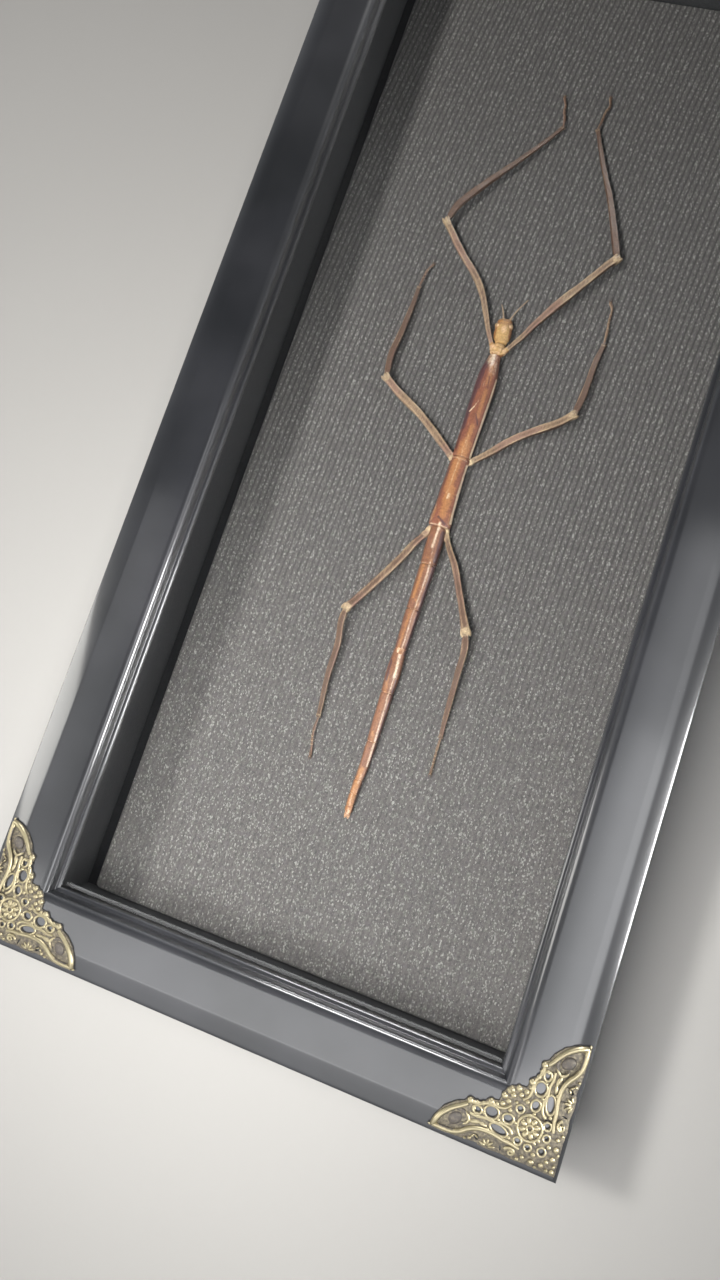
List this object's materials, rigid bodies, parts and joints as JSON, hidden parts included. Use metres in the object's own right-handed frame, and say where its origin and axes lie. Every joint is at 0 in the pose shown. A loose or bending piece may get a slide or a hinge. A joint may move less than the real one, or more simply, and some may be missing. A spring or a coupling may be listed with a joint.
{
  "type": "framed giant stick insect specimen",
  "caption": "Dried giant stick insect with spread legs on grey ribbed fabric behind glass, in a deep black box frame with pierced gilt corner ornaments.",
  "frame": {"origin": "middle of the frame's back, where it lies on the surface", "axes": "+X to the right of the window, +Y along the window towards the insect's head, +Z out of the glass"},
  "size_m": [0.243, 0.531, 0.0569],
  "materials": {
    "satin_black": "satin charcoal-black lacquer on a wooden moulding",
    "liner": "matt black liner strips",
    "glass": "clear float glass",
    "fabric": "grey ribbed fabric with a few glittering threads",
    "hardboard": "brown hardboard, one smooth face",
    "antique_brass": "pale gilt on raised rims, darker in the recesses",
    "steel": "bright zinc plate",
    "head_ochre": "satin dried cuticle, ochre",
    "body_brown": "glossy dried cuticle, reddish brown",
    "leg_tan": "satin dried cuticle, tan with darker grooves",
    "eye": "dull gloss, pale"
  },
  "bodies": {
    "root": {"abdomen_10": "body_brown", "abdomen_2": "body_brown", "abdomen_3": "body_brown", "abdomen_4": "body_brown", "abdomen_5": "body_brown", "abdomen_6": "body_brown", "abdomen_7": "body_brown", "abdomen_8": "body_brown", "abdomen_9": "body_brown", "antenna_left": "leg_tan", "antenna_right": "leg_tan", "back_board": "hardboard", "coxa_front_left": "leg_tan", "coxa_front_right": "leg_tan", "coxa_hind_left": "leg_tan", "coxa_hind_right": "leg_tan", "coxa_middle_left": "leg_tan", "coxa_middle_right": "leg_tan", "eye_left": "eye", "eye_right": "eye", "fabric_panel": "fabric", "femur_front_left": "leg_tan", "femur_front_right": "leg_tan", "femur_hind_left": "leg_tan", "femur_hind_right": "leg_tan", "femur_middle_left": "leg_tan", "femur_middle_right": "leg_tan", "glass_pane": "glass", "head": "head_ochre", "mesothorax": "body_brown", "metathorax": "body_brown", "ornament_bottom_left": "antique_brass", "ornament_bottom_right": "antique_brass", "ornament_top_left": "antique_brass", "ornament_top_right": "antique_brass", "pronotum": "head_ochre", "rail_bottom": "satin_black", "rail_left": "satin_black", "rail_right": "satin_black", "rail_top": "satin_black", "sawtooth_hanger": "steel", "spacer_bottom": "liner", "spacer_left": "liner", "spacer_right": "liner", "spacer_top": "liner", "tarsus_front_left": "leg_tan", "tarsus_front_right": "leg_tan", "tarsus_hind_left": "leg_tan", "tarsus_hind_right": "leg_tan", "tarsus_middle_left": "leg_tan", "tarsus_middle_right": "leg_tan", "tibia_front_left": "leg_tan", "tibia_front_right": "leg_tan", "tibia_hind_left": "leg_tan", "tibia_hind_right": "leg_tan", "tibia_middle_left": "leg_tan", "tibia_middle_right": "leg_tan"}
  },
  "joints": []
}
